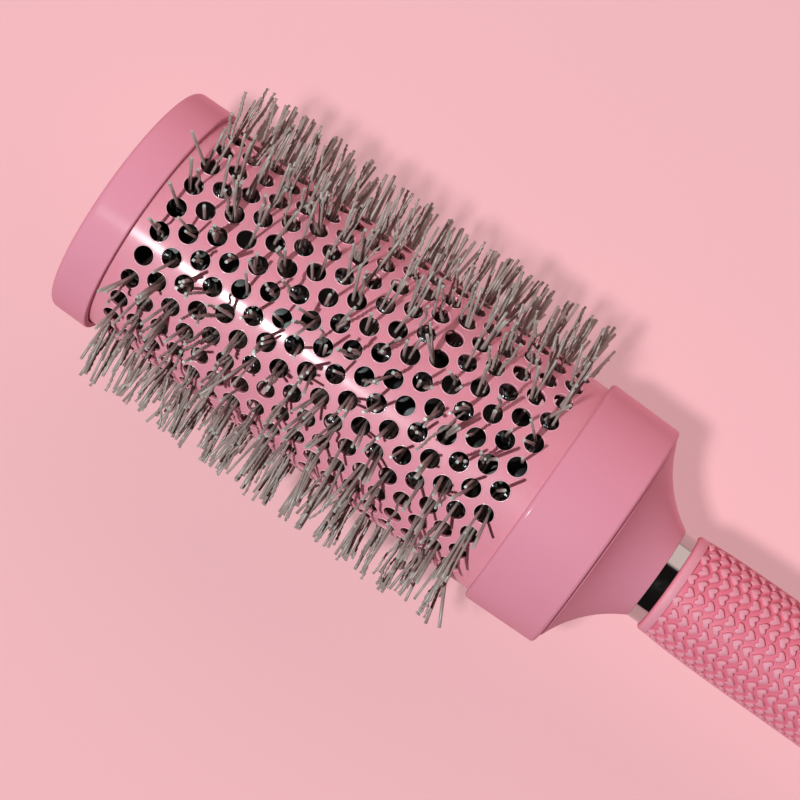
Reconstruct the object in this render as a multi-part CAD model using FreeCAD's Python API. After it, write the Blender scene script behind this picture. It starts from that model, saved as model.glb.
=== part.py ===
import FreeCAD, Part
import math
import os

# Round barrel brush: a perforated aluminium barrel with nine twisted-wire bristle
# strips inside it, closed by a cap in front and by a collar and a flared neck behind,
# all pulled together by a tie rod that ends in the handle.
# Millimetres. The brush's axis is X and the handle is at +X. Stations are measured from
# the cap's rear edge, where the barrel appears, and save() moves them so that the
# origin is at the middle of the whole brush. Angles turn from +Z towards -Y.

TIP_RADIUS = 37.5            # how far the bristle tips reach from the axis
CAP_FRONT = -10.5            # domed front of the cap
TAIL_END = 249.5             # rounded end of the handle
MIDDLE = (CAP_FRONT + TAIL_END) / 2

BARREL_RADIUS = 26.5
BARREL_WALL = 0.8
BARREL_FRONT = -4.0          # seated 4 mm deep in the cap
BARREL_BACK = 104.0          # seated 3.1 mm deep in the collar ring

HOLE_RADIUS = 2.2
HOLE_ROWS = 27               # holes around the barrel
HOLE_COLUMNS = 18            # rings of holes along the barrel
COLUMN_PITCH = 5.25
FIRST_COLUMN = 5.15
FIRST_ROW_ANGLE = 4.07       # degrees, even columns
ROW_ANGLE = 360.0 / HOLE_ROWS

STRIPS = 9                   # each strip feeds three rows of holes
ROWS_PER_STRIP = HOLE_ROWS // STRIPS
STEM_RADIUS = 1.2            # outside of the twisted pair of wires
STEM_CIRCLE = 14.0
STEM_FRONT = -1.4
STEM_BACK = 101.0
TUFT_ROOT_RADIUS = 0.3
TUFT_TIP_RADIUS = 1.1

CAP_RADIUS = 28.3
CAP_RIM_GAP = 0.4            # shadow gap between the rim and the barrel
COLLAR_FRONT = 100.9
COLLAR_BACK = 118.9
COLLAR_FRONT_RADIUS = 28.1
COLLAR_BACK_RADIUS = 27.75
BELL_FRONT = 106.2
NECK_END = 131.95
NECK_RADIUS = 11.15
FERRULE_FRONT = 132.0
FERRULE_BACK = 135.1
FERRULE_RADIUS = 11.1
SPIGOT_RADIUS = 8.95
GRIP_FRONT = 135.15
GRIP_BACK = 243.0
TAIL_RADIUS = 12.2
CORE_RADIUS = 10.0           # rigid core of the handle
ROD_RADIUS = 2.0
ROD_FRONT = -7.2
ROD_BACK = 150.0
DISC_RADIUS = 25.6
CLEAR = 0.05                 # clearance between pieces that slide together

X_AXIS = FreeCAD.Vector(1, 0, 0)
ORIGIN = FreeCAD.Vector(0, 0, 0)


def point(station, radius, angle=90.0):
    """A point at an angle in degrees; the default lies in the XY plane, at -Y."""
    turn = math.radians(angle)
    return FreeCAD.Vector(station, -radius * math.sin(turn), radius * math.cos(turn))


def flat(station, radius):
    return FreeCAD.Vector(station, radius, 0)


def turned(outline):
    """A solid of revolution about X. The outline is a closed list of (station, radius);
    a third value in an entry is a point on the arc that arrives there."""
    edges = []
    last = flat(*outline[0])
    for entry in outline[1:] + [outline[0]]:
        here = flat(entry[0], entry[1])
        if len(entry) == 3:
            edges.append(Part.Arc(last, flat(*entry[2]), here).toShape())
        elif (here - last).Length > 1e-6:
            edges.append(Part.LineSegment(last, here).toShape())
        last = here
    face = Part.Face(Part.Wire(edges))
    return face.revolve(ORIGIN, X_AXIS, 360)


def rod(front, back, radius, off_axis=0.0, angle=0.0):
    return Part.makeCylinder(radius, back - front, point(front, off_axis, angle), X_AXIS)


def tube(front, back, outer, inner):
    return rod(front, back, outer).cut(rod(front - 1, back + 1, inner))


def save(name, shape):
    shape.translate(FreeCAD.Vector(-MIDDLE, 0, 0))
    shape.exportStep("parts/" + name + ".step")
    box = shape.BoundBox
    print("%-18s solids %3d  volume %9.1f  x %7.2f .. %7.2f  valid %s" % (
        name, len(shape.Solids), shape.Volume, box.XMin, box.XMax, shape.isValid()))


def hole_places():
    """(column, row, station, angle) of every hole; odd columns sit half a row further."""
    for column in range(HOLE_COLUMNS):
        for row in range(HOLE_ROWS):
            half_row = 0.5 * (column % 2)
            yield (column, row, FIRST_COLUMN + column * COLUMN_PITCH,
                   FIRST_ROW_ANGLE + (row + half_row) * ROW_ANGLE)


def stem_angle(strip):
    """A stem lies under the middle of its three rows, between odd and even columns."""
    middle_row = ROWS_PER_STRIP * strip + 1
    return FIRST_ROW_ANGLE + (middle_row + 0.25) * ROW_ANGLE


# ---- barrel: a drawn aluminium tube with staggered round holes ----
def make_barrel():
    bore = BARREL_RADIUS - BARREL_WALL
    wall = tube(BARREL_FRONT + CLEAR, BARREL_BACK - CLEAR, BARREL_RADIUS, bore)
    drills = []
    for column, row, station, angle in hole_places():
        drills.append(Part.makeCylinder(HOLE_RADIUS, 4.0, point(station, bore - 1.5, angle),
                                        point(0, 1, angle)))
    return wall.cut(Part.makeCompound(drills))


# ---- front cap: a moulded cup over the barrel's end ----
def make_front_cap():
    face = -9.5
    inside = -8.3
    ledge = 24.4
    seat = BARREL_RADIUS + CLEAR
    boss = 5.0
    boss_bore = 4.3
    return turned([
        (CAP_FRONT, 0),
        (face, 26.8, (-10.25, 13.5)),
        (-7.9, CAP_RADIUS - 0.1, (-9.06, 27.77)),
        (-0.4, CAP_RADIUS),
        (0, CAP_RADIUS - 0.4, (-0.12, CAP_RADIUS - 0.12)),
        (0, BARREL_RADIUS + CAP_RIM_GAP),
        (-1.3, BARREL_RADIUS + CAP_RIM_GAP),
        (-1.3, seat),
        (BARREL_FRONT, seat),
        (BARREL_FRONT, ledge),
        (inside, ledge),
        (inside, boss),
        (-2.6, boss),
        (-2.6, boss_bore),
        (inside, boss_bore),
        (inside, 0),
    ])


# ---- discs that hold the stems' ends, and the core that the stems lie against ----
def make_disc(front, back, stems_at_back):
    disc = tube(front, back, DISC_RADIUS, ROD_RADIUS + CLEAR)
    for strip in range(STRIPS):
        if stems_at_back:
            pocket = (STEM_FRONT - CLEAR, back + 1)
        else:
            pocket = (front - 1, STEM_BACK + CLEAR)
        disc = disc.cut(rod(pocket[0], pocket[1], STEM_RADIUS + CLEAR,
                            STEM_CIRCLE, stem_angle(strip)))
    return disc


def make_core(front, back):
    core = tube(front, back, STEM_CIRCLE - 0.8, ROD_RADIUS + CLEAR)
    for strip in range(STRIPS):
        core = core.cut(rod(front - 1, back + 1, STEM_RADIUS + CLEAR,
                            STEM_CIRCLE, stem_angle(strip)))
    return core


# ---- bristle strips: a twisted wire stem, and one tuft for each hole it feeds ----
def make_stem(strip):
    return rod(STEM_FRONT, STEM_BACK, STEM_RADIUS, STEM_CIRCLE, stem_angle(strip))


def make_tuft(strip, station, angle):
    """A slim cone from the stem through the middle of its hole to the tip radius."""
    stem = point(station, STEM_CIRCLE, stem_angle(strip))
    middle = point(station, BARREL_RADIUS - BARREL_WALL / 2, angle)
    lean = middle.sub(stem)
    lean.normalize()
    root = stem + lean * (STEM_RADIUS + CLEAR)
    across = root.dot(lean) - station * lean.x
    reach = TIP_RADIUS - TUFT_TIP_RADIUS * 0.1
    square = root.y ** 2 + root.z ** 2
    length = -across + math.sqrt(across ** 2 + reach ** 2 - square)
    return Part.makeCone(TUFT_ROOT_RADIUS, TUFT_TIP_RADIUS, length, root, lean)


def make_strip(strip):
    tufts = []
    for column, row, station, angle in hole_places():
        if row // ROWS_PER_STRIP == strip:
            tufts.append(make_tuft(strip, station, angle))
    return Part.makeCompound(tufts)


# ---- tie rod, nut and washer ----
def make_nut(front, back, across_flats):
    corner = across_flats / math.sqrt(3)
    corners = [point(front, corner, 60.0 * i) for i in range(7)]
    nut = Part.Face(Part.makePolygon(corners)).extrude(X_AXIS * (back - front))
    return nut.cut(rod(front - 1, back + 1, ROD_RADIUS + CLEAR))


# ---- collar ring over the barrel's back end ----
def make_collar():
    edge = 1.0
    seat = BARREL_RADIUS + CLEAR
    return turned([
        (COLLAR_FRONT, seat),
        (COLLAR_FRONT, COLLAR_FRONT_RADIUS - edge),
        (COLLAR_FRONT + edge, COLLAR_FRONT_RADIUS,
         (COLLAR_FRONT + 0.29 * edge, COLLAR_FRONT_RADIUS - 0.29 * edge)),
        (COLLAR_BACK - 0.8, COLLAR_BACK_RADIUS),
        (COLLAR_BACK, COLLAR_BACK_RADIUS - 0.8,
         (COLLAR_BACK - 0.24, COLLAR_BACK_RADIUS - 0.24)),
        (COLLAR_BACK, 26.4),
        (BELL_FRONT - CLEAR, 26.4),
        (BELL_FRONT - CLEAR, 24.0),
        (BARREL_BACK, 24.0),
        (BARREL_BACK, seat),
    ])


# ---- bell: the flared neck, hollow in front, with a socket for the handle ----
def make_bell():
    flange = 26.35
    socket = SPIGOT_RADIUS + CLEAR
    return turned([
        (BELL_FRONT, flange),
        (118.0, flange),
        (118.5, 25.85, (118.35, 26.2)),
        (119.5, 25.3, (119.1, 25.7)),
        (NECK_END, NECK_RADIUS, (124.4, 17.2)),
        (NECK_END, socket),
        (126.0, socket),
        (126.0, ROD_RADIUS + CLEAR),
        (102.1, ROD_RADIUS + CLEAR),
        (102.1, 6.0),
        (118.5, 6.0),
        (116.2, 23.0),
        (BELL_FRONT, 24.0),
    ])


# ---- handle: ferrule, rigid core, threaded insert, soft grip sleeve and end cap ----
def make_ferrule():
    return tube(FERRULE_FRONT, FERRULE_BACK, FERRULE_RADIUS, SPIGOT_RADIUS + CLEAR)


def make_handle_core():
    bore = ROD_RADIUS + CLEAR
    insert = 4.05
    return turned([
        (126.1, bore),
        (126.1, SPIGOT_RADIUS),
        (GRIP_FRONT, SPIGOT_RADIUS),
        (GRIP_FRONT, CORE_RADIUS),
        (GRIP_BACK, CORE_RADIUS),
        (GRIP_BACK, insert),
        (138.0, insert),
        (138.0, bore),
    ])


def make_grip():
    band = 12.15
    swell = 12.85
    return turned([
        (GRIP_FRONT, CORE_RADIUS + CLEAR),
        (GRIP_FRONT, band - 1.0),
        (GRIP_FRONT + 1.0, band, (GRIP_FRONT + 0.29, band - 0.29)),
        (138.7, band),
        (153.0, 12.78, (144.5, 12.57)),
        (200.0, swell),
        (GRIP_BACK, TAIL_RADIUS, (224.0, 12.7)),
        (GRIP_BACK, CORE_RADIUS + CLEAR),
    ])


def make_tail_cap():
    edge = 1.6
    plug = 3.9
    return turned([
        (TAIL_END, 0),
        (TAIL_END, TAIL_RADIUS - edge),
        (TAIL_END - edge, TAIL_RADIUS, (TAIL_END - 0.29 * edge, TAIL_RADIUS - 0.29 * edge)),
        (GRIP_BACK + CLEAR, TAIL_RADIUS),
        (GRIP_BACK + CLEAR, plug),
        (GRIP_BACK - 5.0, plug),
        (GRIP_BACK - 5.0, 0),
    ])


def main():
    os.makedirs("parts", exist_ok=True)
    disc_front = (-2.5, 0.5)
    disc_back = (99.0, 102.0)
    save("front_cap", make_front_cap())
    save("barrel", make_barrel())
    save("front_disc", make_disc(disc_front[0], disc_front[1], True))
    save("rear_disc", make_disc(disc_back[0], disc_back[1], False))
    save("core", make_core(disc_front[1] + CLEAR, disc_back[0] - CLEAR))
    for strip in range(STRIPS):
        save("stem_wire_%d" % (strip + 1), make_stem(strip))
        save("bristle_strip_%d" % (strip + 1), make_strip(strip))
    save("tie_rod", rod(ROD_FRONT, ROD_BACK, ROD_RADIUS))
    save("tie_washer", tube(-3.4, disc_front[0] - CLEAR, 4.2, ROD_RADIUS + CLEAR))
    save("tie_nut", make_nut(-6.6, -3.45, 7.0))
    save("collar_ring", make_collar())
    save("bell", make_bell())
    save("ferrule", make_ferrule())
    save("handle_insert", tube(138.05, 149.0, 4.0, ROD_RADIUS + CLEAR))
    save("handle_core", make_handle_core())
    save("grip_sleeve", make_grip())
    save("tail_cap", make_tail_cap())


main()
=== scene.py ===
import math
import random

import bpy
import numpy as np
from mathutils import Matrix, Vector


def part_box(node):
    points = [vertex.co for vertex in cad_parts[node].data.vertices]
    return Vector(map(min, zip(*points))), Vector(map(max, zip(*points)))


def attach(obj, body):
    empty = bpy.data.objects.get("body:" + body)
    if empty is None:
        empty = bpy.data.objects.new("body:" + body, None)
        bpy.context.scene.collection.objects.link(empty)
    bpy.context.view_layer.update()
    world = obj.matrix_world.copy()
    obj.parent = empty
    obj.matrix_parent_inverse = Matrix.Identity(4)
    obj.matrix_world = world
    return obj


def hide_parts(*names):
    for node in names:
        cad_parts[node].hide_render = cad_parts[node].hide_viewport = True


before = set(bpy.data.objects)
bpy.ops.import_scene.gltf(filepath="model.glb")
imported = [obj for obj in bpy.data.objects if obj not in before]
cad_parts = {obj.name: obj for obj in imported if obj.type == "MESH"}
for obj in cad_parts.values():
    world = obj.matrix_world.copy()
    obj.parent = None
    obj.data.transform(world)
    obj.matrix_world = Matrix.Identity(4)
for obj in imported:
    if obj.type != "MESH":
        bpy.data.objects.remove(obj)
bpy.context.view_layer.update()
bpy.ops.object.select_all(action="DESELECT")


# ---- Perforated barrel ----
# A drawn aluminium tube, punched with 27 staggered rows of round holes, then sprayed with
# pink gloss lacquer, which gathers in a thin bead round each hole.
MM = 0.001
BARREL_RADIUS = 26.5 * MM
ROWS = 27
COLUMNS = 18
ROW_ANGLE = 2 * math.pi / ROWS
FIRST_ROW = math.radians(4.07)
COLUMN_PITCH = 5.25 * MM
FIRST_COLUMN = 5.15 * MM
HOLE_RADIUS = 2.2 * MM
BEAD_RADIUS = 0.13 * MM
INSIDE_RADIUS = 25.75 * MM      # the wall's colour turns from the painted inside shade to the outside's
OUTSIDE_COLOUR_RADIUS = 26.1 * MM      # between these two
cap_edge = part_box("front_cap")[1].x
first_column = cap_edge + FIRST_COLUMN


def linear(hex_colour):
    """The linear RGBA of an sRGB hex colour."""
    parts = [int(hex_colour[i:i + 2], 16) / 255 for i in (1, 3, 5)]
    bent = [((c + 0.055) / 1.055) ** 2.4 if c > 0.04045 else c / 12.92 for c in parts]
    return (*bent, 1.0)


def new_finish(name, **sockets):
    """A material with these values on its shader's sockets; underscores stand for spaces."""
    made = bpy.data.materials.new(name)
    made.use_nodes = True
    shader = made.node_tree.nodes["Principled BSDF"]
    for socket, value in sockets.items():
        shader.inputs[socket.replace("_", " ")].default_value = value
    return made


def add_node(made, kind, settings=None, links=None):
    """Adds a node to a material or world. Settings are properties or input values by name or
    index, and links are the sockets that feed its inputs."""
    node = made.node_tree.nodes.new(kind)
    for name, value in (settings or {}).items():
        if isinstance(name, str) and hasattr(node, name):
            setattr(node, name, value)
        else:
            node.inputs[name].default_value = value
    for name, socket in (links or {}).items():
        made.node_tree.links.new(socket, node.inputs[name])
    return node


def paint(node_name, finish):
    """Gives a CAD node its finish in every material slot."""
    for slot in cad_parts[node_name].material_slots:
        slot.material = finish


# Sprayed gloss lacquer: even pink with faint clouds and a slight orange peel outside, and a
# dark red painted on the inside of the tube as painted shade.
lacquer = new_finish("gloss lacquer on aluminium", Roughness=0.5, Coat_Weight=0.3,
                     Coat_Roughness=0.15, Specular_IOR_Level=0.25,
                     Subsurface_Weight=0.25, Subsurface_Scale=0.5 * MM)
where = add_node(lacquer, "ShaderNodeTexCoord")
cloud = add_node(lacquer, "ShaderNodeTexNoise", {"Scale": 1 / (14 * MM), "Detail": 3.0},
                 {"Vector": where.outputs["Object"]})
tint = add_node(lacquer, "ShaderNodeMix", {"data_type": "RGBA"}, {0: cloud.outputs["Fac"]})
tint.inputs[6].default_value = linear("#D68596")
tint.inputs[7].default_value = linear("#DA8B9C")
split = add_node(lacquer, "ShaderNodeSeparateXYZ", None, {0: where.outputs["Object"]})
flat = add_node(lacquer, "ShaderNodeCombineXYZ", None,
                {1: split.outputs["Y"], 2: split.outputs["Z"]})
radius = add_node(lacquer, "ShaderNodeVectorMath", {"operation": "LENGTH"}, {0: flat.outputs[0]})
outside = add_node(lacquer, "ShaderNodeMapRange",
                   {"From Min": INSIDE_RADIUS, "From Max": OUTSIDE_COLOUR_RADIUS},
                   {"Value": radius.outputs["Value"]})
painted_inside_shade = add_node(lacquer, "ShaderNodeMix", {"data_type": "RGBA"},
                {0: outside.outputs["Result"], 7: tint.outputs[2]})
# Painted shade: a dark red on the inside of the tube stands in for the shade that falls there.
painted_inside_shade.inputs[6].default_value = linear("#7A2A3A")
shader = lacquer.node_tree.nodes["Principled BSDF"]
shader.inputs["Subsurface Radius"].default_value = (1.0, 0.12, 0.2)
lacquer.node_tree.links.new(painted_inside_shade.outputs[2], shader.inputs["Base Color"])
peel = add_node(lacquer, "ShaderNodeTexNoise", {"Scale": 1 / (1.6 * MM), "Detail": 2.0},
                {"Vector": where.outputs["Object"]})
ripple = add_node(lacquer, "ShaderNodeBump", {"Strength": 0.05, "Distance": 0.1 * MM},
                  {"Height": peel.outputs["Fac"]})
lacquer.node_tree.links.new(ripple.outputs["Normal"], shader.inputs["Normal"])
paint("barrel", lacquer)


def place(station, radius, angle):
    """A point in the row frame; angles turn from +Z towards -Y."""
    return Vector((station, -radius * math.sin(angle), radius * math.cos(angle)))


def hand_over(name):
    """Names the active object, applies its place to its mesh and deselects it."""
    made = bpy.context.object
    made.name = name
    made.data.name = name
    bpy.ops.object.transform_apply(location=True, rotation=True, scale=True)
    bpy.ops.object.select_all(action="DESELECT")
    return made


# One bead is modelled lying flat and laid round every hole; odd columns sit half a row further.
bpy.ops.mesh.primitive_torus_add(major_segments=24, minor_segments=4,
                                 major_radius=HOLE_RADIUS + BEAD_RADIUS / 2,
                                 minor_radius=BEAD_RADIUS)
ring = hand_over("bead_model")
# Thicker, smoother lacquer, painted a paler pink than the barrel as a painted highlight, so the
# edges of the holes show as thin pale rings.
rim_highlight_lacquer = new_finish("lacquer bead with painted highlight", Base_Color=linear("#EBAAB8"), Roughness=0.4,
                 Coat_Weight=0.8, Coat_Roughness=0.15)
points, faces = [], []
for column in range(COLUMNS):
    for row in range(ROWS):
        angle = FIRST_ROW + (row + 0.5 * (column % 2)) * ROW_ANGLE
        start = len(points)
        for vertex in ring.data.vertices:
            x, y, z = vertex.co
            points.append(place(first_column + column * COLUMN_PITCH + x, BARREL_RADIUS + z,
                                angle + y / BARREL_RADIUS))
        faces.extend(tuple(start + i for i in reversed(face.vertices))
                     for face in ring.data.polygons)
bpy.data.objects.remove(ring)
mesh = bpy.data.meshes.new("barrel_hole_beads")
mesh.from_pydata(points, [], faces)
mesh.materials.append(rim_highlight_lacquer)
mesh.polygons.foreach_set("use_smooth", [True] * len(faces))
beads = bpy.data.objects.new("barrel_hole_beads", mesh)
bpy.context.collection.objects.link(beads)
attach(beads, "root")


# ---- Core, discs and tie rod ----
# A fluted core and two discs, injection moulded in black plastic, hold the bristle stems. A
# steel rod with a washer and a hexagon nut clamps them between the cap end and the neck.
# Black nylon from a blasted mould: a dark, fine grained surface with soft highlights.
black = new_finish("black moulded nylon", Base_Color=linear("#0E0607"), Roughness=0.42,
                   Specular_IOR_Level=0.3)
where = add_node(black, "ShaderNodeTexCoord")
grain = add_node(black, "ShaderNodeTexNoise", {"Scale": 1 / (0.6 * MM), "Detail": 4.0},
                 {"Vector": where.outputs["Object"]})
texture = add_node(black, "ShaderNodeBump", {"Strength": 0.15, "Distance": 0.1 * MM},
                   {"Height": grain.outputs["Fac"]})
black.node_tree.links.new(texture.outputs["Normal"],
                          black.node_tree.nodes["Principled BSDF"].inputs["Normal"])
# Steel pulled through a die: bright, with fine lines along its length. The real lines are
# finer than this and would not show.
ALONG_DRAW = 60.0
ACROSS_DRAW = 4000.0
steel = new_finish("bright drawn steel", Base_Color=linear("#A9A9AB"), Metallic=1.0,
                   Roughness=0.28)
where = add_node(steel, "ShaderNodeTexCoord")
stretch = add_node(steel, "ShaderNodeMapping", {"Scale": (ALONG_DRAW, ACROSS_DRAW, ACROSS_DRAW)},
                   {"Vector": where.outputs["Object"]})
lines = add_node(steel, "ShaderNodeTexNoise", {"Scale": 1.0, "Detail": 2.0},
                 {"Vector": stretch.outputs["Vector"]})
drawn = add_node(steel, "ShaderNodeBump", {"Strength": 0.1, "Distance": 0.05 * MM},
                 {"Height": lines.outputs["Fac"]})
steel.node_tree.links.new(drawn.outputs["Normal"],
                          steel.node_tree.nodes["Principled BSDF"].inputs["Normal"])
for inner in ("core", "front_disc", "rear_disc"):
    paint(inner, black)
for inner in ("tie_rod", "tie_washer", "tie_nut"):
    paint(inner, steel)


# ---- Bristle strips ----
# Nine strips, each a pair of steel wires twisted round cut nylon filament. The filaments fan
# out from the stem through three rows of holes and are trimmed to one diameter over all.
STRIPS = 9
ROWS_PER_STRIP = 3
STEM_ROW = 1.25                 # a stem lies between the odd and even holes of its middle row
WALL_HALF = 0.4 * MM
STEM_CIRCLE = 14.0 * MM
WIRE_RADIUS = 0.6 * MM
TWIST_PITCH = 3.4 * MM
TIP_RADIUS = 37.4 * MM
TRIM_MEAN = -0.1 * MM
TRIM_ERROR = 0.5 * MM
FREE_LENGTH = 11 * MM           # of a filament, outside the barrel
FAN_OUT = 0.35                  # how far the outer rows lean away from the stem
FILAMENT_RADIUS = (0.29 * MM, 0.4 * MM)
MOST_IN_HOLE = 6
FEWEST_IN_FAN = 4
COUNT_WEIGHTS = (8, 30, 33, 18, 8, 2, 1)     # for none to six filaments in a hole
FAN_SHARE = 0.03                # of holes, whose filaments stand side by side in a flat fan
CRIMPED_SHARE = 0.3             # of filaments
BENT_SHARE = 0.06               # of filaments, that stand well out of line
STRIP_LEAN = (0.2, 0.4, 0.3, -0.5, 0.6, -0.4, -1.0, -1.1, -0.7)    # mm at the tip, along the axis
STRIP_CROWD = (0.0, 0.5, 0.6, 0.3, 0.3, 0.3, 0.8, 0.8, 0.2)    # share of holes with one more


def cut_filament(name, sides, cuts):
    """A closed round rod of radius 1 from z 0 to 1, cut across at these heights."""
    bpy.ops.mesh.primitive_cylinder_add(vertices=sides, radius=1, depth=1, location=(0, 0, 0.5))
    bpy.ops.object.transform_apply(location=True)
    bpy.ops.object.mode_set(mode="EDIT")
    for height in cuts:
        bpy.ops.mesh.select_all(action="SELECT")
        bpy.ops.mesh.bisect(plane_co=(0, 0, height), plane_no=(0, 0, 1))
    bpy.ops.object.mode_set(mode="OBJECT")
    model = hand_over(name)
    points = np.array([v.co for v in model.data.vertices])
    faces = [tuple(f.vertices) for f in model.data.polygons]
    bpy.data.objects.remove(model)
    return points, faces


# Two models: a plain filament, and one that is thicker and thinner by turns from the knee on.
CRIMP_START = 0.4
CRIMP_STEP = 0.03
CRIMP_CUTS = 20
CRIMP_SWELL = 0.3
CRIMP_DEPTH = 0.3 * MM
CRIMP_TURN = 12.0               # radians of waviness from knee to tip
straight = cut_filament("filament_model", 6, (0.3, 0.45, 0.52, 0.76))
crimped = cut_filament("crimped_model", 4,
                       [CRIMP_START + CRIMP_STEP * i for i in range(CRIMP_CUTS)])
swell = np.where(crimped[0][:, 2] < CRIMP_START - CRIMP_STEP, 1.0,
                 1 + CRIMP_SWELL * np.cos(math.pi * (crimped[0][:, 2] - CRIMP_START)
                                          / CRIMP_STEP))
crimped[0][:, :2] *= swell[:, None]

BEND = 0.38                     # where on the model the knee comes
KNEE_DEPTH = 2.5 * MM           # of the knee under the hole


def bend_filament(model, root, hole, tip, radius, crimp):
    """The model's points on a line from root to just under hole and straight on to tip."""
    points = model[0]
    along = (tip - hole).normalized()
    side = along.orthogonal().normalized()
    other = along.cross(side)
    t = points[:, 2:3]
    knee = hole - along * KNEE_DEPTH
    inner = np.clip(t / BEND, 0, 1)
    outer = np.clip((t - BEND) / (1 - BEND), 0, 1)
    line = (np.array(root) * (1 - inner) + np.array(knee) * inner
            + np.array(tip - knee) * outer)
    wave = crimp * np.sin(outer * CRIMP_TURN)
    line = line + wave * np.array(side)
    return (line + radius * points[:, 0:1] * np.array(side)
            + radius * points[:, 1:2] * np.array(other))


HOLE_LEAN = 0.9 * MM
FAN_STRAY = 0.3 * MM
LOOSE_STRAY = 0.7 * MM
BENT_STRAY = 3.0 * MM
HOLE_FILL = 0.72                # of the hole's radius that filaments pass through
SPREAD = 0.2                    # outward lean for each unit off the hole's middle


def hole_filaments(count, fan):
    """Places in the hole and leans at the tip, along the axis and around it."""
    lean = (random.gauss(0, HOLE_LEAN), random.gauss(0, HOLE_LEAN))
    turn = random.uniform(0, math.pi)
    for index in range(count):
        if fan:
            step = (index - (count - 1) / 2) * 2 * FILAMENT_RADIUS[0]
            at = (step * math.cos(turn), step * math.sin(turn))
            stray = FAN_STRAY
        else:
            spot = HOLE_RADIUS * HOLE_FILL * math.sqrt(random.random())
            way = random.uniform(0, 2 * math.pi)
            at = (spot * math.cos(way), spot * math.sin(way))
            stray = LOOSE_STRAY
        if random.random() < BENT_SHARE:
            stray = BENT_STRAY
        yield at, [lean[i] + at[i] * SPREAD + random.gauss(0, stray) for i in range(2)]


# Extruded taupe nylon: a soft sheen along each filament, and some lighter than others. The
# sheared ends are paler and duller.
nylon = new_finish("cut nylon filament", Roughness=0.36, Specular_IOR_Level=0.6)
where = add_node(nylon, "ShaderNodeTexCoord")
shade = add_node(nylon, "ShaderNodeTexNoise", {"Scale": 1 / (2.5 * MM), "Detail": 2.0},
                 {"Vector": where.outputs["Object"]})
tint = add_node(nylon, "ShaderNodeMix", {"data_type": "RGBA"}, {0: shade.outputs["Fac"]})
tint.inputs[6].default_value = linear("#7C6A65")
tint.inputs[7].default_value = linear("#B3A29D")
nylon.node_tree.links.new(tint.outputs[2],
                          nylon.node_tree.nodes["Principled BSDF"].inputs["Base Color"])
cut_end = new_finish("sheared nylon end", Base_Color=linear("#9FA09B"), Roughness=0.4)

random.seed(11)
for strip in range(STRIPS):
    stem_angle = FIRST_ROW + (ROWS_PER_STRIP * strip + STEM_ROW) * ROW_ANGLE
    points, faces, ends = [], [], []
    for column in range(COLUMNS):
        station = first_column + column * COLUMN_PITCH
        for row in range(ROWS_PER_STRIP * strip, ROWS_PER_STRIP * (strip + 1)):
            angle = FIRST_ROW + (row + 0.5 * (column % 2)) * ROW_ANGLE
            fan = random.random() < FAN_SHARE
            count = random.randint(FEWEST_IN_FAN, MOST_IN_HOLE) if fan else random.choices(
                range(MOST_IN_HOLE + 1), COUNT_WEIGHTS)[0]
            count = min(count + (random.random() < STRIP_CROWD[strip]), MOST_IN_HOLE)
            for at, lean in hole_filaments(count, fan):
                root = place(station + at[0] * 0.5, STEM_CIRCLE + WIRE_RADIUS, stem_angle)
                hole = place(station + at[0], BARREL_RADIUS - WALL_HALF,
                             angle + at[1] / BARREL_RADIUS)
                carry = FAN_OUT * (angle - stem_angle) * FREE_LENGTH
                reach = TIP_RADIUS + random.gauss(TRIM_MEAN, TRIM_ERROR)
                tip = place(station + at[0] + lean[0] + STRIP_LEAN[strip] * MM, reach,
                            angle + (at[1] + lean[1] + carry) / BARREL_RADIUS)
                wavy = random.random() < CRIMPED_SHARE
                model = crimped if wavy else straight
                crimp = CRIMP_DEPTH if wavy else 0.0
                start = len(points)
                radius = random.uniform(*FILAMENT_RADIUS)
                points.extend(bend_filament(model, root, hole, tip, radius, crimp))
                faces.extend(tuple(start + i for i in face) for face in model[1])
                ends.extend(len(face) != 4 or abs(model[0][list(face), 2].mean() - 1) < 1e-6
                            for face in model[1])
    name = "bristle_strip_%d" % (strip + 1)
    mesh = bpy.data.meshes.new(name + "_filaments")
    mesh.from_pydata(points, [], faces)
    mesh.materials.append(nylon)
    mesh.materials.append(cut_end)
    mesh.polygons.foreach_set("material_index", [int(end) for end in ends])
    mesh.polygons.foreach_set("use_smooth", [not end for end in ends])
    bristles = bpy.data.objects.new(name + "_filaments", mesh)
    bpy.context.collection.objects.link(bristles)
    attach(bristles, "root")
    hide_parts(name)

# One short length of the two wires is repeated along the stem and then twisted.
stem_low, stem_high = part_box("stem_wire_1")
stem_length = stem_high.x - stem_low.x
STEPS_PER_TURN = 6
steps = STEPS_PER_TURN * round(stem_length / TWIST_PITCH)
for side in (-1, 1):
    bpy.ops.mesh.primitive_cylinder_add(
        vertices=6, radius=WIRE_RADIUS, depth=stem_length / steps, end_fill_type="NOTHING",
        location=(stem_low.x + stem_length / steps / 2, side * WIRE_RADIUS, 0),
        rotation=(0, math.pi / 2, 0))
    if side == -1:
        first_wire = bpy.context.object
first_wire.select_set(True)
bpy.ops.object.join()
pair = hand_over("stem_model")
pair.select_set(True)
bpy.context.view_layer.objects.active = pair
row_of = pair.modifiers.new("lengths", "ARRAY")
row_of.count = steps
row_of.use_merge_vertices = True
row_of.merge_threshold = 0.01 * MM
bpy.ops.object.modifier_apply(modifier="lengths")
bpy.ops.object.mode_set(mode="EDIT")
bpy.ops.mesh.select_all(action="DESELECT")
bpy.ops.mesh.select_non_manifold()
bpy.ops.mesh.edge_face_add()
bpy.ops.mesh.select_all(action="SELECT")
bpy.ops.mesh.normals_make_consistent(inside=False)
bpy.ops.object.mode_set(mode="OBJECT")
turn = 2 * math.pi / STEPS_PER_TURN
for vertex in pair.data.vertices:
    twist = (vertex.co.x - stem_low.x) / stem_length * steps * turn
    vertex.co = Matrix.Rotation(twist, 3, "X") @ vertex.co
bpy.ops.object.shade_smooth()
bpy.ops.object.select_all(action="DESELECT")
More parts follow.
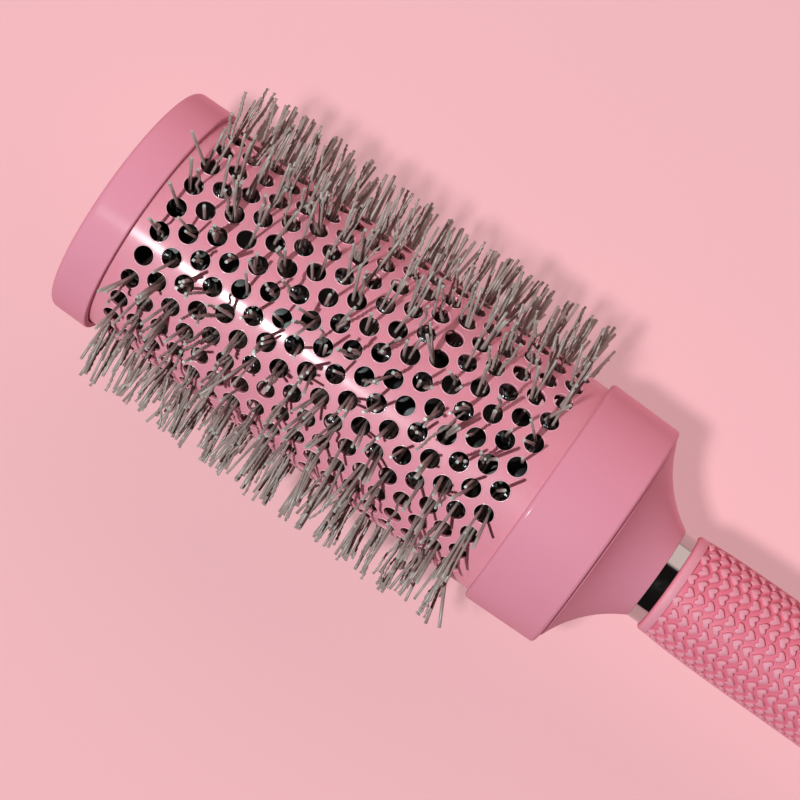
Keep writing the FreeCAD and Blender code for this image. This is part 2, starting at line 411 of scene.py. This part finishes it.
for strip in range(STRIPS):
    name = "stem_wire_%d" % (strip + 1)
    mesh = pair.data.copy()
    stem_angle = FIRST_ROW + (ROWS_PER_STRIP * strip + STEM_ROW) * ROW_ANGLE
    middle = place(0, STEM_CIRCLE, stem_angle)
    mesh.transform(Matrix.Translation(middle))
    mesh.materials.append(steel)
    stem = bpy.data.objects.new(name + "_twisted", mesh)
    bpy.context.collection.objects.link(stem)
    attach(stem, "root")
    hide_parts(name)
bpy.data.objects.remove(pair)


# ---- Front cap, collar ring, neck bell and end cap ----
# Injection moulded ABS with the same pink lacquer, a little less shiny than on the metal.
# The cap and the ring are pressed and glued over the ends of the barrel. The lacquer gives a
# broad soft sheen over faint clouds and a fine orange peel.
moulding = new_finish("satin lacquer on ABS", Roughness=0.7, Coat_Weight=0.15,
                      Coat_Roughness=0.17, Specular_IOR_Level=0.2)
where = add_node(moulding, "ShaderNodeTexCoord")
cloud = add_node(moulding, "ShaderNodeTexNoise", {"Scale": 1 / (18 * MM), "Detail": 3.0},
                 {"Vector": where.outputs["Object"]})
tint = add_node(moulding, "ShaderNodeMix", {"data_type": "RGBA"}, {0: cloud.outputs["Fac"]})
tint.inputs[6].default_value = linear("#D48498")
tint.inputs[7].default_value = linear("#D88A9E")
shader = moulding.node_tree.nodes["Principled BSDF"]
moulding.node_tree.links.new(tint.outputs[2], shader.inputs["Base Color"])
peel = add_node(moulding, "ShaderNodeTexNoise", {"Scale": 1 / (0.7 * MM), "Detail": 3.0},
                {"Vector": where.outputs["Object"]})
ripple = add_node(moulding, "ShaderNodeBump", {"Strength": 0.06, "Distance": 0.1 * MM},
                  {"Height": peel.outputs["Fac"]})
moulding.node_tree.links.new(ripple.outputs["Normal"], shader.inputs["Normal"])
for part in ("front_cap", "collar_ring", "bell", "tail_cap"):
    paint(part, moulding)


# ---- Ferrule ----
# A pressed brass ring, nickel and chrome plated and polished to a mirror, pushed on to the
# spigot of the handle's core. It hides the joint between the neck and the grip, and mirrors
# the studio in light and dark bands, with faint wipe marks.
chrome = new_finish("polished chrome plate", Base_Color=linear("#BFBCBA"), Metallic=1.0)
where = add_node(chrome, "ShaderNodeTexCoord")
wipe = add_node(chrome, "ShaderNodeTexNoise", {"Scale": 1 / (1.2 * MM), "Detail": 4.0},
                {"Vector": where.outputs["Object"]})
haze = add_node(chrome, "ShaderNodeMapRange", {"To Min": 0.03, "To Max": 0.12},
                {"Value": wipe.outputs["Fac"]})
chrome.node_tree.links.new(haze.outputs["Result"],
                           chrome.node_tree.nodes["Principled BSDF"].inputs["Roughness"])
paint("ferrule", chrome)


# ---- Handle core and threaded insert ----
# The rigid core is moulded in pink ABS and the turned brass insert is moulded into it. Both
# are hidden by the sleeve, the ferrule and the end cap, so their finishes are plain.
inner_abs = new_finish("moulded pink ABS", Base_Color=linear("#CF6A80"), Roughness=0.5)
brass = new_finish("turned brass", Base_Color=linear("#C9A35A"), Metallic=1.0, Roughness=0.3)
paint("handle_core", inner_abs)
paint("handle_insert", brass)


# ---- Grip sleeve ----
# A soft silicone sleeve stretched over the handle's core. Its front is a plain band, and
# behind it small hearts stand out of the mould-blasted surface for grip. Each row of hearts
# points the other way from the rows beside it.
HEART_ROWS = 26
FIRST_HEART_ROW = math.radians(-2.2)
HEARTS_BACK = 4.5 * MM          # first heart of the rows that point backwards
HEARTS_FORWARD = 2.95 * MM      # and of the rows that point forwards
HEART_CIRCLE = 12.4 * MM
HEART_PITCH = 2.6 * MM
HEART_LENGTH = 2.2 * MM
HEART_WIDTH = 2.62 * MM
HEART_HEIGHT = 0.66 * MM
SLEEVE_BORE = 10.05 * MM
BAND_RADIUS = 12.15 * MM
BAND_EDGE = 1.0 * MM
BAND_END = 2.4 * MM
STEP = 0.12 * MM                # length of the step from the band down to the grooves
TAIL_BAND = 4 * MM
SWELL = 0.68 * MM               # of the grip behind the band
SWELL_LENGTH = 6 * MM
TAPER = 0.6 * MM                # of the grip's last two fifths
TAPER_START = 0.6
grip_low, grip_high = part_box("grip_sleeve")
grip_start = grip_low.x
grip_length = grip_high.x - grip_low.x


def crest(x):
    """Radius over the hearts at x along the sleeve."""
    rise = SWELL * (1 - math.exp(-max(x - BAND_END, 0) / SWELL_LENGTH))
    tail = max(0.0, (x / grip_length - TAPER_START) / (1 - TAPER_START))
    return BAND_RADIUS + rise - TAPER * tail ** 2


def sleeve_outline():
    """(x, radius) round the sleeve's wall, from the bore over the band to the tail."""
    edge_steps = 6
    groove_steps = 40
    yield 0, SLEEVE_BORE
    yield 0, crest(0) - BAND_EDGE
    for i in range(1, edge_steps + 1):
        turn = i / edge_steps * math.pi / 2
        yield BAND_EDGE * (1 - math.cos(turn)), crest(0) - BAND_EDGE * (1 - math.sin(turn))
    yield BAND_END - 0.1 * MM, crest(0)
    yield BAND_END, crest(0) - 0.08 * MM
    yield BAND_END + STEP, crest(0) - HEART_HEIGHT
    last = grip_length - TAIL_BAND
    for i in range(1, groove_steps + 1):
        x = BAND_END + (last - BAND_END) * i / groove_steps
        yield x, crest(x) - HEART_HEIGHT
    yield last + STEP, crest(last)
    yield grip_length, crest(grip_length)
    yield grip_length, SLEEVE_BORE


outline = list(sleeve_outline())
mesh = bpy.data.meshes.new("grip_sleeve_silicone")
count = len(outline)
mesh.from_pydata([(grip_start + x, 0, radius) for x, radius in outline],
                 [(i, (i + 1) % count) for i in range(count)], [])
sleeve = bpy.data.objects.new("grip_sleeve_silicone", mesh)
bpy.context.collection.objects.link(sleeve)
sleeve.select_set(True)
bpy.context.view_layer.objects.active = sleeve
bpy.ops.object.mode_set(mode="EDIT")
bpy.ops.mesh.select_all(action="SELECT")
bpy.ops.mesh.spin(steps=96, angle=2 * math.pi, center=(0, 0, 0), axis=(1, 0, 0))
bpy.ops.mesh.select_all(action="SELECT")
bpy.ops.mesh.remove_doubles(threshold=0.005 * MM)
bpy.ops.mesh.normals_make_consistent(inside=False)
bpy.ops.object.mode_set(mode="OBJECT")
bpy.ops.object.shade_smooth_by_angle(angle=math.radians(50))
bpy.ops.object.select_all(action="DESELECT")

# One heart, its sides drafted and its top edge rounded, then set out over the sleeve. Its foot
# is larger than its nominal size by the draft, and sinks a little into the groove.
OUTLINE_POINTS = 14
FOOT = 1.1
SUNK = 0.05 * MM
HEART_STEPS = ((0.42 * MM, 0.9), (0.18 * MM, 0.94), (0.11 * MM, 0.85))    # rise, shrink
bpy.ops.mesh.primitive_circle_add(vertices=OUTLINE_POINTS, radius=1, fill_type="NGON")
heart = bpy.context.object
for i, vertex in enumerate(heart.data.vertices):
    t = 2 * math.pi * i / OUTLINE_POINTS
    across = math.sin(t) * abs(math.sin(t))
    along = (13 * math.cos(t) - 5 * math.cos(2 * t) - 2 * math.cos(3 * t)
             - math.cos(4 * t) + 2.5) / 29
    vertex.co = (along * HEART_LENGTH * FOOT, across * HEART_WIDTH / 2 * FOOT, -SUNK)
bpy.ops.object.mode_set(mode="EDIT")
bpy.ops.mesh.select_all(action="SELECT")
bpy.ops.mesh.normals_make_consistent(inside=False)
for rise, shrink in HEART_STEPS:
    bpy.ops.mesh.extrude_region_move(TRANSFORM_OT_translate={"value": (0, 0, rise)})
    bpy.ops.transform.resize(value=(shrink, shrink, 1), center_override=(0, 0, 0))
bpy.ops.mesh.poke()
bpy.ops.mesh.select_all(action="DESELECT")
bpy.ops.mesh.select_non_manifold()
bpy.ops.mesh.edge_face_add()
bpy.ops.mesh.select_all(action="SELECT")
bpy.ops.mesh.normals_make_consistent(inside=False)
bpy.ops.object.mode_set(mode="OBJECT")
heart_points = [v.co.copy() for v in heart.data.vertices]
heart_faces = [tuple(f.vertices) for f in heart.data.polygons]
bpy.data.objects.remove(heart)

points, faces = [], []
heart_area = grip_length - TAIL_BAND - BAND_END
for row in range(HEART_ROWS):
    facing = -1 if row % 2 else 1
    angle = FIRST_HEART_ROW + row * 2 * math.pi / HEART_ROWS
    offset = HEARTS_BACK if facing > 0 else HEARTS_FORWARD
    for number in range(int(heart_area / HEART_PITCH)):
        middle = offset + number * HEART_PITCH
        start = len(points)
        for spot in heart_points:
            x = middle - facing * spot.x
            base = crest(x) - HEART_HEIGHT
            turn = angle - facing * spot.y / HEART_CIRCLE
            points.append(place(grip_start + x, base + spot.z, turn))
        faces.extend(tuple(start + i for i in face) for face in heart_faces)
mesh = bpy.data.meshes.new("grip_hearts")
mesh.from_pydata(points, [], faces)
hearts = bpy.data.objects.new("grip_hearts", mesh)
bpy.context.collection.objects.link(hearts)
hearts.select_set(True)
bpy.context.view_layer.objects.active = hearts
bpy.ops.object.mode_set(mode="EDIT")
bpy.ops.mesh.select_all(action="SELECT")
bpy.ops.mesh.normals_make_consistent(inside=False)
bpy.ops.object.mode_set(mode="OBJECT")
bpy.ops.object.shade_smooth_by_angle(angle=math.radians(60))
bpy.ops.object.select_all(action="DESELECT")

# Silicone from a blasted mould: matt and slightly translucent. The grooves are painted a deeper
# pink as painted shade and the tops of the hearts a paler pink as painted highlight, mixed by a
# point attribute that runs from 0 in the grooves to 1 on top.
silicone = new_finish("matt silicone", Roughness=0.55, Subsurface_Weight=0.08,
                      Subsurface_Scale=0.5 * MM, Specular_IOR_Level=0.4)
silicone.node_tree.nodes["Principled BSDF"].inputs["Subsurface Radius"].default_value = (
    1.0, 0.15, 0.2)
where = add_node(silicone, "ShaderNodeTexCoord")
dust = add_node(silicone, "ShaderNodeTexNoise", {"Scale": 1 / (0.35 * MM), "Detail": 4.0},
                {"Vector": where.outputs["Object"]})
painted_shade_height = add_node(silicone, "ShaderNodeAttribute", {"attribute_name": "painted_shade_height"})
speck = add_node(silicone, "ShaderNodeMath", {"operation": "MULTIPLY_ADD", 1: 0.3, 2: -0.15},
                 {0: dust.outputs["Fac"]})
level = add_node(silicone, "ShaderNodeMath", {"operation": "ADD", "use_clamp": True},
                 {0: speck.outputs[0], 1: painted_shade_height.outputs["Fac"]})
tint = add_node(silicone, "ShaderNodeMix", {"data_type": "RGBA"}, {0: level.outputs[0]})
# Painted shade in the grooves, painted highlight on the tops of the hearts.
tint.inputs[6].default_value = linear("#DA6E84")
tint.inputs[7].default_value = linear("#DD90A1")
shader = silicone.node_tree.nodes["Principled BSDF"]
silicone.node_tree.links.new(tint.outputs[2], shader.inputs["Base Color"])
blast = add_node(silicone, "ShaderNodeBump", {"Strength": 0.2, "Distance": 0.04 * MM},
                 {"Height": dust.outputs["Fac"]})
silicone.node_tree.links.new(blast.outputs["Normal"], shader.inputs["Normal"])
for piece in (sleeve, hearts):
    painted_shade_layer = piece.data.attributes.new("painted_shade_height", "FLOAT", "POINT")
    for vertex, value in zip(piece.data.vertices, painted_shade_layer.data):
        radius = math.hypot(vertex.co.y, vertex.co.z)
        depth = crest(vertex.co.x - grip_start) - radius
        value.value = 1 - min(max(depth / HEART_HEIGHT, 0), 1)
    piece.data.materials.append(silicone)
    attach(piece, "root")
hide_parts("grip_sleeve")


# ---- Floor, light and camera ----
# The brush lies on a wide sheet of pale pink paper. A small soft box lights everything but the
# paper, a second and steeper one lights only the paper, and warm studio walls fill one side.
FLOOR_DROP = 38.3 * MM
FLOOR_SIZE = 40.0               # metres, which keeps the sheet's edge far behind the brush
bpy.ops.mesh.primitive_plane_add(size=FLOOR_SIZE, location=(0, 0, -FLOOR_DROP))
floor = hand_over("paper_floor")
# Uncoated paper that glows a little, in place of light that bounces round a real studio.
paper = new_finish("pale paper", Base_Color=linear("#B8878C"), Roughness=0.9,
                   Emission_Color=linear("#EABBC0"), Emission_Strength=0.53)
floor.data.materials.append(paper)


def soft_box(name, direction, distance, size, power, colour):
    """A square light that looks at the middle of the barrel."""
    middle = 50 * MM
    target = Vector((cap_edge + middle, 0, 0))
    lamp = bpy.data.lights.new(name, "AREA")
    lamp.size = size
    lamp.energy = power
    lamp.color = colour
    box = bpy.data.objects.new(name, lamp)
    box.location = target + Vector(direction).normalized() * distance
    box.rotation_euler = (target - box.location).to_track_quat("-Z", "Y").to_euler()
    bpy.context.collection.objects.link(box)
    return box


key_box = soft_box("key_box", direction=(-0.155, -0.396, 1.0), distance=1.05, size=0.02,
                   power=11.2, colour=(0.9, 1.0, 1.0))
floor_box = soft_box("floor_box", direction=(-0.09, -0.165, 1.0), distance=1.2, size=0.1,
                     power=10.5, colour=(1.0, 1.0, 1.0))
for box, state in ((key_box, "EXCLUDE"), (floor_box, "INCLUDE")):
    lit = bpy.data.collections.new(box.name + "_floor")
    lit.objects.link(floor)
    lit.collection_objects[0].light_linking.link_state = state
    box.light_linking.receiver_collection = lit

# The walls are bright and warm on the +Y side and dark on the other, so that the chrome ring
# has both to mirror. The edge between them leans outwards.
WALL_LEAN = 0.65
WALL_EDGE = 0.08
WALL_DARK = 0.012
WALL_BRIGHT = 1.06
world = bpy.data.worlds.new("studio")
world.use_nodes = True
bpy.context.scene.world = world
where = add_node(world, "ShaderNodeTexCoord")
split = add_node(world, "ShaderNodeSeparateXYZ", None, {0: where.outputs["Generated"]})
past = add_node(world, "ShaderNodeMath", {"operation": "MULTIPLY_ADD", 1: -WALL_LEAN},
                {0: split.outputs["Z"], 2: split.outputs["Y"]})
walls = add_node(world, "ShaderNodeMapRange",
                 {"From Min": -WALL_EDGE, "From Max": WALL_EDGE,
                  "To Min": WALL_DARK, "To Max": WALL_BRIGHT},
                 {"Value": past.outputs[0]})
world.node_tree.nodes["Background"].inputs["Color"].default_value = (1.0, 0.80, 0.77, 1.0)
world.node_tree.links.new(walls.outputs["Result"],
                          world.node_tree.nodes["Background"].inputs["Strength"])
bpy.context.scene.view_settings.view_transform = "Standard"

# Nearly straight down, with the brush turned across the frame.
TILT = math.radians(3.037)
ROLL = math.radians(35.32)
EYE = Vector((cap_edge + 95.6 * MM, -1.55 * MM, 574.2 * MM))
camera_data = bpy.data.cameras.new("camera")
camera_data.lens = 118.9
camera_data.sensor_width = 36
camera = bpy.data.objects.new("camera", camera_data)
bpy.context.collection.objects.link(camera)
camera.matrix_world = (Matrix.Translation(EYE) @ Matrix.Rotation(TILT, 4, "Y")
                       @ Matrix.Rotation(ROLL, 4, "Z"))
bpy.context.scene.camera = camera
